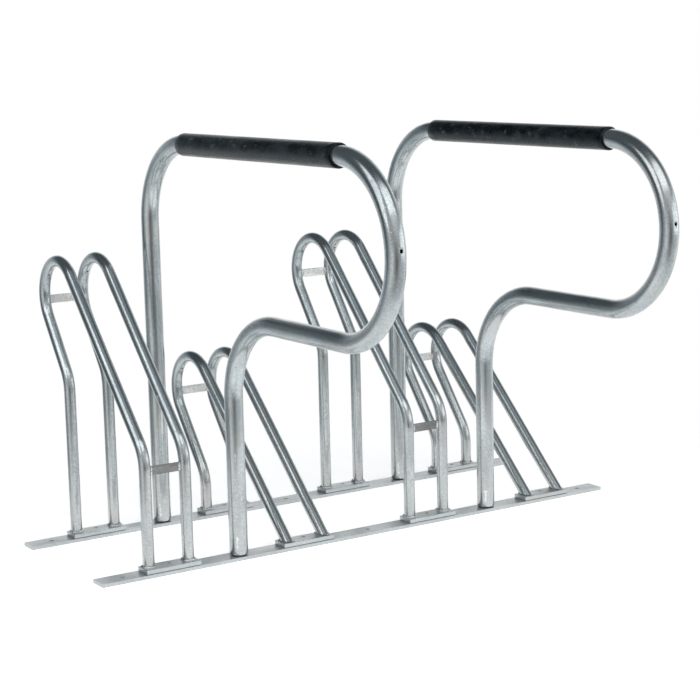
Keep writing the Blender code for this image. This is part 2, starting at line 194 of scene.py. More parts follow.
def capped_mesh(name, rings, angle):
    """A closed body skinned over rings, with its two ends filled."""
    mesh = mesh_from_rings(name, np.array(rings), False)
    bm = bmesh.new()
    bm.from_mesh(mesh)
    bmesh.ops.holes_fill(bm, edges=[edge for edge in bm.edges if edge.is_boundary], sides=0)
    bm.to_mesh(mesh)
    bm.free()
    return tidy_normals(mesh, angle)


def joined_mesh(name, meshes):
    """One mesh of several, which go."""
    bm = bmesh.new()
    for mesh in meshes:
        bm.from_mesh(mesh)
        bpy.data.meshes.remove(mesh)
    return finished_mesh(bm, name)


def evaluated_mesh(body, helpers):
    """The mesh of a temporary object after its modifiers. The temporary objects go."""
    graph = bpy.context.evaluated_depsgraph_get()
    graph.update()
    result = bpy.data.meshes.new_from_object(body.evaluated_get(graph))
    for item in [body, *helpers]:
        bpy.data.objects.remove(item, do_unlink=True)
    return result


def cut_mesh(mesh, cutters):
    """The mesh with every cutter mesh taken away."""
    body = add_object("body_to_cut", mesh)
    helpers = []
    for cutter in cutters:
        helper = add_object("cutter", cutter)
        cut = body.modifiers.new("cut", "BOOLEAN")
        cut.operation = "DIFFERENCE"
        cut.solver = "EXACT"
        cut.object = helper
        helpers.append(helper)
    return evaluated_mesh(body, helpers)


def rounded_mesh(mesh, radius):
    """The mesh with every sharp edge rounded."""
    body = add_object("body_to_round", mesh)
    rounding = body.modifiers.new("rounding", "BEVEL")
    rounding.width = radius
    rounding.segments = ROUNDING_SEGMENTS
    rounding.limit_method = "ANGLE"
    rounding.angle_limit = ROUNDING_ANGLE
    rounding.harden_normals = True
    mesh.shade_smooth()
    return evaluated_mesh(body, [])


def shifted(mesh, x, y=0.0, z=0.0):
    """A copy of the mesh in another place."""
    copy = mesh.copy()
    copy.transform(Matrix.Translation((x, y, z)))
    return copy


# Routes of the bent tubes in the YZ plane, as in the CAD: each bend is the centre of its
# circle and a radius, positive where the tube turns from +Y towards +Z.


def direction(angle):
    """The heading that an angle from +Y towards +Z stands for."""
    return np.array([math.cos(angle), math.sin(angle)])


def left_of(angle):
    """The direction to the left of a heading."""
    return np.array([-math.sin(angle), math.cos(angle)])


def tangent_heading(centre_a, radius_a, centre_b, radius_b):
    """Heading of the straight run that touches two bends."""
    between = centre_b - centre_a
    offset = radius_b - radius_a
    run = math.sqrt(between @ between - offset * offset)
    return math.atan2(between[1], between[0]) - math.atan2(offset, run)


def plan_route(start, bends, end, end_heading=None):
    """Points, headings and lengths along a tube that starts upwards and rounds each bend."""
    heading = math.pi / 2
    here = np.array(start)
    points = []
    headings = []
    for index, (centre, radius) in enumerate(bends):
        if index + 1 < len(bends):
            next_heading = tangent_heading(centre, radius, *bends[index + 1])
        elif end_heading is None:
            next_heading = tangent_heading(centre, radius, np.array(end), 0.0)
        else:
            next_heading = end_heading
        turn = (next_heading - heading) % (2 * math.pi)
        if radius < 0.0:
            turn -= 2 * math.pi
        touch = centre - radius * left_of(heading)
        add_straight(points, headings, here, touch, heading)
        steps = math.ceil(abs(turn) / BEND_STEP)
        for step in range(steps):
            angle = heading + turn * step / steps
            points.append(centre - radius * left_of(angle))
            headings.append(angle)
        heading += turn
        here = centre - radius * left_of(heading)
    add_straight(points, headings, here, np.array(end), heading)
    points.append(np.array(end))
    headings.append(heading)
    points = np.array(points)
    lengths = np.concatenate([[0.0], np.cumsum(np.linalg.norm(np.diff(points, axis=0), axis=1))])
    return {"points": points, "headings": np.array(headings), "lengths": lengths}


def add_straight(points, headings, start, end, heading):
    """Add the points of a straight run, without its last."""
    steps = max(1, round(np.linalg.norm(end - start) / STRAIGHT_STEP))
    for step in range(steps):
        points.append(start + (end - start) * step / steps)
        headings.append(heading)


def hoop_loop(tall):
    """Centre of a hoop's upper loop."""
    if tall:
        return np.array([TALL_LOOP_SETBACK, TALL_LOOP_HEIGHT])
    return np.array([LOW_LOOP_SETBACK, LOW_LOOP_HEIGHT])


def hoop_route(tall):
    """A hoop from its rear foot up, round the loop and down to its front foot."""
    foot = np.array([RAIL_SPACING + FOOT_SETBACK, HOOP_SEAT])
    rear_top = TALL_REAR_STRAIGHT_TOP if tall else LOW_REAR_STRAIGHT_TOP
    rear_bend = (np.array([foot[0] + HOOP_BEND_RADIUS, rear_top]), -HOOP_BEND_RADIUS)
    loop = (hoop_loop(tall), LOOP_RADIUS)
    if not tall:
        return plan_route(foot, [rear_bend, loop], (0.0, HOOP_SEAT))
    front_centre = np.array([FOOT_SETBACK + HOOP_BEND_RADIUS, TALL_FRONT_STRAIGHT_TOP])
    bends = [rear_bend, loop, (front_centre, HOOP_BEND_RADIUS)]
    return plan_route(foot, bends, (FOOT_SETBACK, HOOP_SEAT), -math.pi / 2)


def nose_centre():
    """Centre of the half round at the front of a lean-on loop."""
    return np.array([NOSE_RADIUS - NOSE_REACH, LEAN_HEIGHT - NOSE_RADIUS])


def lean_route():
    """A lean-on loop from its rear foot over the top bar, the nose and the lower bar."""
    lower_bar = LEAN_HEIGHT - 2 * NOSE_RADIUS
    top_centre = np.array([RAIL_SPACING - LEAN_BEND_RADIUS, LEAN_HEIGHT - LEAN_BEND_RADIUS])
    front_centre = np.array([-LEAN_BEND_RADIUS, lower_bar - LEAN_BEND_RADIUS])
    bends = [
        (top_centre, LEAN_BEND_RADIUS),
        (nose_centre(), NOSE_RADIUS),
        (front_centre, -LEAN_BEND_RADIUS),
    ]
    return plan_route((RAIL_SPACING, LEAN_SEAT), bends, (0.0, LEAN_SEAT), -math.pi / 2)


def tube_rings(route, radius, sides, x, end_inset=0.0):
    """Rings of a tube's surface along its route, with both feet cut flat."""
    points, headings, lengths = route["points"], route["headings"], route["lengths"]
    to_end = np.minimum(lengths, lengths[-1] - lengths)
    radii = radius - end_inset * np.clip(1.0 - to_end / END_ROUNDING, 0.0, 1.0) ** 2
    around = np.linspace(0.0, 2 * math.pi, sides, endpoint=False)
    side = radii[:, None] * np.cos(around)[None, :]
    up = radii[:, None] * np.sin(around)[None, :]
    rings = np.empty((len(points), sides, 3))
    rings[:, :, 0] = x + side
    rings[:, :, 1] = points[:, None, 0] - np.sin(headings)[:, None] * up + FRONT_LINE
    rings[:, :, 2] = points[:, None, 1] + np.cos(headings)[:, None] * up
    for row in (0, -1):
        reach = (points[row, 1] - rings[row, :, 2]) / math.sin(headings[row])
        rings[row, :, 1] += math.cos(headings[row]) * reach
        rings[row, :, 2] = points[row, 1]
    return rings


def end_refined(route):
    """The route with extra points at both ends, where the tube's rim is rounded."""
    extra = np.array(END_SHARES) * END_ROUNDING
    total = route["lengths"][-1]
    lengths = np.concatenate([route["lengths"], extra, total - extra])
    order = np.argsort(lengths)
    columns = [np.interp(lengths, route["lengths"], column) for column in route["points"].T]
    points = np.stack(columns, axis=1)
    headings = np.interp(lengths, route["lengths"], route["headings"])
    return {"points": points[order], "headings": headings[order], "lengths": lengths[order]}


def tube_mesh(name, route, radius, wall, sides, x, end_inset=0.0):
    """A hollow tube: the outer rings one way and the bore's rings back."""
    outer = tube_rings(route, radius, sides, x, end_inset)
    inner = tube_rings(route, radius - wall, sides, x)[::-1]
    return tidy_normals(mesh_from_rings(name, np.concatenate([outer, inner]), True))


# How far apart tubes lie along their shared patterns, and the place of the first lean-on loop
PATTERN_STEP = 7.31
LEAN_PATTERN = 20


def store_straight(mesh, route, x, piece_number):
    """Keep each point's place on the straightened tube, for patterns that run along it."""
    count = len(mesh.vertices)
    places = np.empty(count * 3)
    mesh.vertices.foreach_get("co", places)
    places = places.reshape(-1, 3)
    flat = places[:, 1:] - np.array([FRONT_LINE, 0.0])
    gaps = flat[:, None, :] - route["points"][None, :, :]
    nearest = np.argmin((gaps ** 2).sum(axis=2), axis=1)
    away = gaps[np.arange(count), nearest]
    headings = route["headings"][nearest]
    along = away[:, 0] * np.cos(headings) + away[:, 1] * np.sin(headings)
    across = away[:, 1] * np.cos(headings) - away[:, 0] * np.sin(headings)
    straight = np.stack([places[:, 0] - x, across, route["lengths"][nearest] + along], axis=1)
    straight[:, 2] += PATTERN_STEP * piece_number
    attribute = mesh.attributes.new("straight", "FLOAT_VECTOR", "POINT")
    attribute.data.foreach_set("vector", straight.astype(np.float32).ravel())


def drill_mesh(radius, depth, place, pointing):
    """A drill that starts outside the wall and ends inside the tube."""
    drill = pin_mesh(radius, -OVERSHOOT, depth)
    turn = Vector((0.0, 0.0, 1.0)).rotation_difference(pointing).to_matrix().to_4x4()
    drill.transform(Matrix.Translation(place) @ turn)
    return drill


# Weld beads and zinc runs


SEED_SHIFTS = (3.7, 1.9, 5.3)


def rough(place, scale, seed):
    """Smooth noise between -1 and 1."""
    return noise.noise(Vector(place) * scale + Vector([seed * shift for shift in SEED_SHIFTS]))


# The fillet round a foot: its section, its lumps and ripples as shares of the section, and
# how far its toe and root reach into the plate and the tube
WELD_STEPS = 96
WELD_SECTION = 9
WELD_HEIGHT = 0.0036
WELD_WIDTH = 0.0040
WELD_FULLNESS = 0.85
WELD_SINK = 0.0004
WELD_TOE = 0.9
WELD_ROOT = 2.0
WELD_LUMP = 0.50
WELD_HEIGHT_SCALE = 140.0
WELD_WIDTH_SCALE = 120.0
WELD_RIPPLE = 0.10
WELD_RIPPLES = 13.0
WELD_DRIFT = 4.0
WELD_DRIFT_SCALE = 90.0
WELD_SMOOTH_ANGLE = math.radians(60.0)


def foot_weld_rings(centre, heading, seed):
    """A lumpy fillet round a hoop's foot on its plate."""
    up = Vector((0.0, math.cos(heading), math.sin(heading)))
    across = Vector((0.0, -math.sin(heading), math.cos(heading)))
    sunk = Vector((0.0, 0.0, WELD_SINK))
    rings = []
    for step in range(WELD_STEPS):
        turn = 2 * math.pi * step / WELD_STEPS
        radial = Vector((1.0, 0.0, 0.0)) * math.cos(turn) + across * math.sin(turn)
        base = centre + radial * HOOP_RADIUS
        base -= up * ((base.z - centre.z) / up.z)
        out = base - centre
        out.z = 0.0
        out.y *= up.z * up.z
        out.normalize()
        drift = WELD_DRIFT * rough(base, WELD_DRIFT_SCALE, seed + 5.0)
        ripple = WELD_RIPPLE * math.sin(WELD_RIPPLES * turn + drift)
        height = WELD_HEIGHT * (1.0 + WELD_LUMP * rough(base, WELD_HEIGHT_SCALE, seed) + ripple)
        width = WELD_WIDTH * (1.0 + WELD_LUMP * rough(base, WELD_WIDTH_SCALE, seed + 9.0) + ripple)
        ring = []
        for part in range(WELD_SECTION):
            angle = math.pi / 2 * part / (WELD_SECTION - 1)
            rise = height * math.cos(angle) ** WELD_FULLNESS
            reach = width * math.sin(angle) ** WELD_FULLNESS
            ring.append(base + up * rise + out * (reach - WELD_SINK * math.cos(angle)))
        ring.append(base + out * width * WELD_TOE - sunk)
        ring.append(base - out * WELD_SINK * WELD_ROOT - sunk)
        rings.append([tuple(point) for point in ring])
    return np.array(rings)


# The bead at a cross bar's end: half its section off the bar's face and towards the tube,
# and the slightly smaller section at which its lumps are looked up
BEAD_ROWS = 26
BEAD_SIDES = 18
BEAD_SECTION = (0.0023, 0.0034)
BEAD_LUMP_SECTION = (0.002, 0.003)
BEAD_FULLNESS = 0.45
BEAD_LUMP = 0.45
BEAD_LUMP_SCALE = 260.0
BEAD_RIPPLE = 0.10
BEAD_RIPPLES = 22.0
BEAD_SMOOTH_ANGLE = math.radians(70.0)


def bar_bead_mesh(centre, lengthwise, outwards, inwards, length, seed):
    """A short lumpy bead between a cross bar's face and the tube beside it."""
    rings = []
    for row in range(1, BEAD_ROWS):
        share = row / BEAD_ROWS
        swell = math.sin(math.pi * share) ** BEAD_FULLNESS
        ripple = BEAD_RIPPLE * math.sin(share * BEAD_RIPPLES)
        along = lengthwise * (length * (share - 0.5))
        ring = []
        for side in range(BEAD_SIDES):
            turn = 2 * math.pi * side / BEAD_SIDES
            off_face = outwards * math.cos(turn)
            to_tube = inwards * math.sin(turn)
            spot = centre + along + off_face * BEAD_LUMP_SECTION[0] + to_tube * BEAD_LUMP_SECTION[1]
            lump = 1.0 + BEAD_LUMP * rough(spot, BEAD_LUMP_SCALE, seed) + ripple
            reach = off_face * BEAD_SECTION[0] + to_tube * BEAD_SECTION[1]
            ring.append(tuple(centre + along + reach * swell * lump))
        rings.append(ring)
    return capped_mesh("bead", rings, BEAD_SMOOTH_ANGLE)


# A raised streak, used for zinc runs and for the painted highlights above the lean-on feet: the
# width and height of its tail as a share of the drop's, and where along it the drop sits
RUN_ROWS = 22
RUN_COLUMNS = 9
RUN_SINK = 0.0004
RUN_TAIL = 0.45
RUN_DROP_PLACE = 0.16
RUN_DROP_LENGTH = 0.16
RUN_WANDER = 0.25
RUN_WANDER_SCALE = 6.0
RUN_SMOOTH_ANGLE = math.radians(60.0)


def raised_streak_mesh(route, radius, x, run_place, turn, length, width, thickness, seed):
    """A raised streak on a tube, thick at its lower end: a frozen tear of zinc, and above a lean-on
    foot a painted highlight.
    """
    rings = []
    for row in range(1, RUN_ROWS):
        share = row / RUN_ROWS
        from_drop = (share - RUN_DROP_PLACE) / RUN_DROP_LENGTH
        bulb = RUN_TAIL + (1.0 - RUN_TAIL) * math.exp(-from_drop ** 2)
        outline = math.sin(math.pi * share) ** 0.5
        wander = 1.0 + RUN_WANDER * noise.noise(Vector((share * RUN_WANDER_SCALE, seed, 0.0)))
        half = 0.5 * width * outline * bulb * wander
        place = run_place + length * (share - 0.5)
        centre = [np.interp(place, route["lengths"], column) for column in route["points"].T]
        heading = np.interp(place, route["lengths"], route["headings"])
        top = []
        bottom = []
        for column in range(RUN_COLUMNS):
            offset = -1.0 + 2.0 * column / (RUN_COLUMNS - 1)
            angle = turn + offset * half / radius
            crown = thickness * outline * bulb * (1.0 - offset * offset)
            top.append(tube_point(x, centre, heading, angle, radius + crown))
            bottom.append(tube_point(x, centre, heading, angle, radius - RUN_SINK))
        rings.append(top + bottom[::-1])
    return capped_mesh("run", rings, RUN_SMOOTH_ANGLE)


def tube_point(x, centre, heading, angle, radius):
    """A point at an angle round a tube's centre line."""
    up = radius * math.sin(angle)
    y = centre[0] - math.sin(heading) * up + FRONT_LINE
    return (x + radius * math.cos(angle), y, centre[1] + math.cos(heading) * up)


# Materials


def feed(tree, node, inputs):
    """Give a node its inputs, as plain values or as sockets to link."""
    for key, value in inputs.items():
        if isinstance(value, bpy.types.NodeSocket):
            tree.links.new(value, node.inputs[key])
        else:
            node.inputs[key].default_value = value


def add_node(tree, kind, inputs=None, **settings):
    """A node with its settings and inputs."""
    made = tree.nodes.new(kind)
    for key, value in settings.items():
        setattr(made, key, value)
    feed(tree, made, inputs or {})
    return made


def math_node(tree, operation, first, second):
    """The result of a sum on two numbers or sockets."""
    return add_node(tree, "ShaderNodeMath", {0: first, 1: second}, operation=operation).outputs[0]


def scaled(tree, vector, scale=(1.0, 1.0, 1.0), place=(0.0, 0.0, 0.0)):
    """Places stretched and moved, so that a pattern on them is another one."""
    inputs = {"Vector": vector, "Scale": scale, "Location": place}
    return add_node(tree, "ShaderNodeMapping", inputs).outputs["Vector"]


def noise_value(tree, vector, scale, detail, roughness=0.55):
    """Cloudy noise from 0 to 1."""
    inputs = {"Vector": vector, "Scale": scale, "Detail": detail, "Roughness": roughness}
    return add_node(tree, "ShaderNodeTexNoise", inputs).outputs["Fac"]


def remap(tree, value, low, high, to_low=0.0, to_high=1.0):
    """A value moved from one range to another, and held within it."""
    inputs = {"Value": value, "From Min": low, "From Max": high, "To Min": to_low, "To Max": to_high}
    return add_node(tree, "ShaderNodeMapRange", inputs).outputs["Result"]


# Colour sockets of a mix node: the two inputs and the result
MIX_FIRST, MIX_SECOND, MIX_RESULT = 6, 7, 2


def mix_color(tree, factor, first, second):
    """A colour between two, which are sockets or plain colours."""
    inputs = {0: factor}
    for key, value in ((MIX_FIRST, first), (MIX_SECOND, second)):
        inputs[key] = value if isinstance(value, bpy.types.NodeSocket) else (*value, 1.0)
    return add_node(tree, "ShaderNodeMix", inputs, data_type="RGBA").outputs[MIX_RESULT]


def voronoi_cells(tree, vector, scale):
    """Distance from the middle of each cell, and a random number for each."""
    cells = add_node(tree, "ShaderNodeTexVoronoi", {"Vector": vector, "Scale": scale})
    parts = add_node(tree, "ShaderNodeSeparateColor", {"Color": cells.outputs["Color"]})
    return cells.outputs["Distance"], parts.outputs["Red"]


def bumpy(tree, height, strength, distance):
    """The normal of a surface with a height on it."""
    inputs = {"Height": height, "Strength": strength, "Distance": distance}
    return add_node(tree, "ShaderNodeBump", inputs).outputs["Normal"]


def object_places(tree):
    """Places in the frame's metres."""
    return add_node(tree, "ShaderNodeTexCoord").outputs["Object"]


def new_material(name):
    """A material, its nodes and its shader."""
    material = bpy.data.materials.new(name)
    material.use_nodes = True
    tree = material.node_tree
    return material, tree, tree.nodes["Principled BSDF"]


# Zinc patterns: scales per metre and how far each moves the tone, and the moves that keep
# patterns on the same places apart
PATCH_SCALE = 20.0
PATCH_STRETCH = 0.45
STREAK_SCALE = 130.0
STREAK_STRETCH = 0.10
STREAK_TONE = 0.10
STREAK_MOVE = (3.1, 1.7, 0.4)
MOTTLE_SCALE = 260.0
MOTTLE_TONE = 0.32
MOTTLE_MOVE = (0.7, 0.2, 1.9)
SPANGLE_SCALE = 170.0
SPANGLE_TONE = 0.06
WARM_SCALE = 14.0
WARM_SHARE = 0.6
WARM_MOVE = (9.0, 2.0, 5.0)
WAVE_SCALE = 70.0
WAVE_MOVE = (2.0, 6.0, 1.0)
# Heights between which the painted warm reflection on the feet fades, and its share at the floor
FOOT_REFLECTION_HEIGHTS = (0.02, 0.40)
FOOT_REFLECTION_SHARE = 0.40
# White specks: reach of each, how rare they are, their share, colour and height
SPECK_SCALE = 75.0
SPECK_REACH = (0.06, 0.14)
SPECK_CHANCE = (0.86, 0.90)
SPECK_SHARE = 0.7
SPECK_COLOR = (0.92, 0.94, 0.94)
SPECK_RELIEF = 0.25
MOTTLE_RELIEF = 0.12


def zinc_material(name, dull, bright, warm, roughness, waves, metallic, streak_axis=0, bent=False):
    """Hot-dip zinc: cloudy patches, faint streaks, mottle, spangle, specks, and a painted warm
    reflection that grows towards the feet.
    """
    material, tree, shader = new_material(name)
    source = object_places(tree)
    if bent:
        source = add_node(tree, "ShaderNodeAttribute", attribute_name="straight").outputs["Vector"]
    along = tuple(STREAK_STRETCH if axis == streak_axis else 1.0 for axis in range(3))
    drawn = tuple(PATCH_STRETCH if axis == streak_axis else 1.0 for axis in range(3))
    patches = noise_value(tree, scaled(tree, source, drawn), PATCH_SCALE, 3.0)
    streaks = noise_value(tree, scaled(tree, source, along, STREAK_MOVE), STREAK_SCALE, 1.0, 0.5)
    mottle = noise_value(tree, scaled(tree, source, place=MOTTLE_MOVE), MOTTLE_SCALE, 2.0, 0.6)
    _, spangle = voronoi_cells(tree, source, SPANGLE_SCALE)
    tone = remap(tree, patches, 0.32, 0.68, 0.22, 0.78)
    for part, low, high, reach in (
        (streaks, 0.3, 0.7, STREAK_TONE),
        (mottle, 0.3, 0.7, MOTTLE_TONE),
        (spangle, 0.0, 1.0, SPANGLE_TONE),
    ):
        tone = math_node(tree, "ADD", tone, remap(tree, part, low, high, -reach, reach))
    color = mix_color(tree, remap(tree, tone, 0.0, 1.0), dull, bright)
    warmth = noise_value(tree, scaled(tree, source, drawn, WARM_MOVE), WARM_SCALE, 2.0)
    color = mix_color(tree, remap(tree, warmth, 0.5, 0.72, 0.0, WARM_SHARE), color, warm)
    # Painted reflection: the colour turns to the warm tone towards the bottom, for the warm light
    # reflected onto the feet near the floor
    level = add_node(tree, "ShaderNodeSeparateXYZ", {0: object_places(tree)}).outputs["Z"]
    color = mix_color(tree, remap(tree, level, *FOOT_REFLECTION_HEIGHTS, FOOT_REFLECTION_SHARE, 0.0), color, warm)
    distance, chance = voronoi_cells(tree, source, SPECK_SCALE)
    specks = remap(tree, distance, *SPECK_REACH, 1.0, 0.0)
    specks = math_node(tree, "MULTIPLY", specks, remap(tree, chance, *SPECK_CHANCE))
    color = mix_color(tree, math_node(tree, "MULTIPLY", specks, SPECK_SHARE), color, SPECK_COLOR)
    swell = noise_value(tree, scaled(tree, source, drawn, WAVE_MOVE), WAVE_SCALE, 2.0)
    height = math_node(tree, "ADD", swell, remap(tree, mottle, 0.3, 0.7, 0.0, MOTTLE_RELIEF))
    height = math_node(tree, "ADD", height, math_node(tree, "MULTIPLY", specks, SPECK_RELIEF))
    feed(tree, shader, {
        "Base Color": color,
        "Roughness": remap(tree, tone, 0.1, 0.9, roughness[1], roughness[0]),
        "Metallic": metallic,
        "Normal": bumpy(tree, height, 1.0, waves),
    })
    return material


WELD_LUMP_SCALE = 420.0
WELD_SHADE = 0.62
WELD_METALLIC = 0.9
WELD_RELIEF = 0.0006


def weld_material(name, color, roughness):
    """Lumpy bright zinc over welds and in runs, also on the painted highlights above the lean-on
    feet.
    """
    material, tree, shader = new_material(name)
    lumps = noise_value(tree, object_places(tree), WELD_LUMP_SCALE, 3.0)
    shade = tuple(channel * WELD_SHADE for channel in color)
    feed(tree, shader, {
        "Base Color": mix_color(tree, remap(tree, lumps, 0.35, 0.6), shade, color),
        "Roughness": remap(tree, lumps, 0.3, 0.7, roughness + 0.12, roughness),
        "Metallic": WELD_METALLIC,
        "Normal": bumpy(tree, lumps, 0.6, WELD_RELIEF),
    })
    return material


SLEEVE_DARK = (0.0008, 0.0018, 0.0026)
SLEEVE_SMUDGE = (0.018, 0.024, 0.028)
SLEEVE_RUB = (0.022, 0.029, 0.034)
SLEEVE_SCUFF = (0.085, 0.10, 0.11)
SLEEVE_SPECULAR = 0.33
SLEEVE_GLOSS_TINT = (0.66, 0.90, 1.0, 1.0)
SLEEVE_GRAIN = 0.0002
SMUDGE_SCALE = 38.0
RUB_SCALE = 260.0
SCUFF_SCALE = 62.0
SCUFF_MOVE = (0.3, 0.9, 0.1)
GRAIN_SCALE = 1100.0


def sleeve_material():
    """Black sleeve with dusty smudges, faint rubs along it and a few pale scuffs."""
    material, tree, shader = new_material("sleeve_black")
    source = object_places(tree)
    smudges = noise_value(tree, scaled(tree, source, (1.0, 0.5, 1.0)), SMUDGE_SCALE, 5.0, 0.62)
    rubs = noise_value(tree, scaled(tree, source, (1.0, 0.12, 1.0)), RUB_SCALE, 2.0)
    scuffed = scaled(tree, source, (1.0, 0.7, 1.0), SCUFF_MOVE)
    scuffs = noise_value(tree, scuffed, SCUFF_SCALE, 3.0, 0.7)
    grain = noise_value(tree, source, GRAIN_SCALE, 2.0)
    color = mix_color(tree, remap(tree, smudges, 0.42, 0.66), SLEEVE_DARK, SLEEVE_SMUDGE)
    color = mix_color(tree, remap(tree, rubs, 0.55, 0.75, 0.0, 0.35), color, SLEEVE_RUB)
    color = mix_color(tree, remap(tree, scuffs, 0.59, 0.68, 0.0, 0.7), color, SLEEVE_SCUFF)
    feed(tree, shader, {
        "Base Color": color,
        "Roughness": remap(tree, smudges, 0.35, 0.70, 0.22, 0.38),
        "Specular IOR Level": SLEEVE_SPECULAR,
        "Specular Tint": SLEEVE_GLOSS_TINT,
        "Normal": bumpy(tree, grain, 0.35, SLEEVE_GRAIN),
    })
    return material


# Painted shade: the insert's colours are near black for the shadow in the thin gap between the
# tube's foot and the rail
PLUG_PAINTED_SHADE = (0.020, 0.023, 0.027)
PLUG_PALE = (0.060, 0.064, 0.070)
PLUG_METALLIC = 0.6
GRIME_SCALE = 300.0


def plug_material():
    """Steel insert painted near black, the painted shade of the thin gap under the tube's foot, with
    a rough face.
    """
    material, tree, shader = new_material("plug_painted_shade")
    grime = noise_value(tree, object_places(tree), GRIME_SCALE, 3.0)
    feed(tree, shader, {
        "Base Color": mix_color(tree, remap(tree, grime, 0.35, 0.65), PLUG_PAINTED_SHADE, PLUG_PALE),
        "Roughness": remap(tree, grime, 0.3, 0.7, 0.5, 0.7),
        "Metallic": PLUG_METALLIC,
    })
    return material


# Every finish of the rack, in linear colours, some with painted light as marked
MATERIALS = {
    "tube": zinc_material(
        "zinc_tube", dull=(0.345, 0.385, 0.40), bright=(0.61, 0.655, 0.668),
        warm=(0.55, 0.535, 0.51), roughness=(0.14, 0.25), waves=0.00005, metallic=0.92,
        streak_axis=2, bent=True,
    ),
    "flat": zinc_material(
        "zinc_flat_bar", dull=(0.40, 0.45, 0.475), bright=(0.66, 0.715, 0.74),
        warm=(0.64, 0.64, 0.62), roughness=(0.26, 0.40), waves=0.00015, metallic=0.65,
    ),
    # Painted highlight: the upper cross bars get a much paler copy of the flat-bar zinc, for the
    # bright light they catch
    "upper_bar": zinc_material(
        "zinc_cross_bar", dull=(0.42, 0.42, 0.41), bright=(0.92, 0.92, 0.91),
        warm=(0.74, 0.72, 0.68), roughness=(0.28, 0.42), waves=0.00030, metallic=0.75,
    ),
    # Painted shade: the lower cross bars get a much darker copy of the same zinc, for the shade low
    # in the rack
    "lower_bar": zinc_material(
        "zinc_cross_bar_painted_shade", dull=(0.16, 0.16, 0.155), bright=(0.35, 0.35, 0.345),
        warm=(0.27, 0.265, 0.25), roughness=(0.30, 0.44), waves=0.00030, metallic=0.85,
    ),
    "weld": weld_material("zinc_weld", (0.78, 0.80, 0.80), 0.16),
    # Pale zinc of the runs, also the painted highlight above each lean-on foot
    "run": weld_material("zinc_run", (0.88, 0.90, 0.90), 0.18),
    "screw": zinc_material(
        "zinc_screw", dull=(0.24, 0.25, 0.26), bright=(0.42, 0.43, 0.44),
        warm=(0.40, 0.38, 0.34), roughness=(0.22, 0.34), waves=0.00005, metallic=1.0,
        streak_axis=2,
    ),
    "plug": plug_material(),
    "sleeve": sleeve_material(),
}


# Pieces of the rack


def node_x(name):
    """Middle of a CAD node along the rails."""
    low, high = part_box(name)
    return (low.x + high.x) / 2


def is_tall(number):
    """Places take turns, and the first is tall."""
    return number % 2 == 1


def row_point(x, flat):
    """A point of the YZ plane of the routes, in the frame."""
    return Vector((x, flat[0] + FRONT_LINE, flat[1]))


def add_drilled_tube(node, plain, drill, route, x, pattern):
    """A tube with its vent hole cut, and its own stretch of the patterns along it."""
    mesh = cut_mesh(plain, [drill])
    mesh.name = node + "_tube"
    store_straight(mesh, route, x, pattern)
    add_piece(node + "_tube", mesh, MATERIALS["tube"], [node])


def build_hoop(number, side):
    """One hoop with its vent hole."""
    node = f"hoop_{number}_{side}"
    x = node_x(node)
    tall = is_tall(number)
    route = hoop_route(tall)
    plain = tube_mesh(node + "_tube", route, HOOP_RADIUS, HOOP_WALL, TUBE_SIDES, x)
    outward = direction(HOOP_VENT_ANGLE)
    place = row_point(x, hoop_loop(tall) + outward * (LOOP_RADIUS - HOOP_RADIUS))
    pointing = Vector((0.0, outward[0], outward[1]))
    drill = drill_mesh(HOOP_VENT_RADIUS, HOOP_WALL + OVERSHOOT, place, pointing)
    pattern = number * 2 + (side == "left")
    add_drilled_tube(node, plain, drill, route, x, pattern)


def build_hoop_welds(number, side):
    """The fillets round both feet of a hoop."""
    x = node_x(f"hoop_{number}_{side}")
    route = hoop_route(is_tall(number))
    seed = number * 4 + (side == "left") * 2
    for end, row, turn in (("rear", 0, 0.0), ("front", -1, math.pi)):
        centre = row_point(x, (route["points"][row][0], PLATE_TOP))
        rings = foot_weld_rings(centre, route["headings"][row] + turn, seed + row)
        mesh = tidy_normals(mesh_from_rings("weld", rings, True), WELD_SMOOTH_ANGLE)
        add_piece(f"weld_foot_{number}_{side}_{end}", mesh, MATERIALS["weld"])


def build_lean_loop(number):
    """One lean-on loop with its vent hole at the nose."""
    node = f"lean_loop_{number}"
    x = node_x(node)
    route = end_refined(lean_route())
    plain = tube_mesh(node + "_tube", route, LEAN_RADIUS, LEAN_WALL, LEAN_SIDES, x, END_ROUNDING)
    outward = np.array([-math.cos(LEAN_VENT_ANGLE), math.sin(LEAN_VENT_ANGLE)])
    place = row_point(x, nose_centre() + outward * (NOSE_RADIUS + LEAN_RADIUS))
    pointing = Vector((0.0, -outward[0], -outward[1]))
    drill = drill_mesh(LEAN_VENT_RADIUS, LEAN_WALL + OVERSHOOT, place, pointing)
    add_drilled_tube(node, plain, drill, route, x, LEAN_PATTERN + number)


def flat_bar_mesh(name, size, rounding, cutters):
    """A flat bar centred on the origin, its edges a little rounded, with holes."""
    bm = bmesh.new()
    bmesh.ops.create_cube(bm, size=1.0)
    bmesh.ops.scale(bm, vec=size, verts=bm.verts[:])
    mesh = finished_mesh(bm, name)
    if cutters:
        mesh = cut_mesh(mesh, cutters)
    return rounded_mesh(mesh, rounding)


def hole_mesh(radius, thickness):
    """What a through hole takes away."""
    half = thickness / 2 + OVERSHOOT
    return pin_mesh(radius, -half, half)


SEAT_HEAD = 0.0080
SEAT_SHANK = 0.0045
SEAT_RIM = 0.0011
SEAT_CONE = 0.0035


def seat_mesh(thickness):
    """What a through hole with a countersink from below takes away."""
    half = thickness / 2
    cone_top = -half + SEAT_RIM + SEAT_CONE
    profile = [
        (0.0, -half - OVERSHOOT), (SEAT_HEAD, -half - OVERSHOOT), (SEAT_HEAD, -half + SEAT_RIM),
        (SEAT_SHANK, cone_top), (SEAT_SHANK, half + OVERSHOOT), (0.0, half + OVERSHOOT),
    ]
    return revolved_mesh("seat", profile, ROUND_SIDES)


ANCHOR_HOLE_RADIUS = 0.0055
ANCHOR_HOLE_INSET = 0.058
PLATE_HOLE_RADIUS = 0.0044


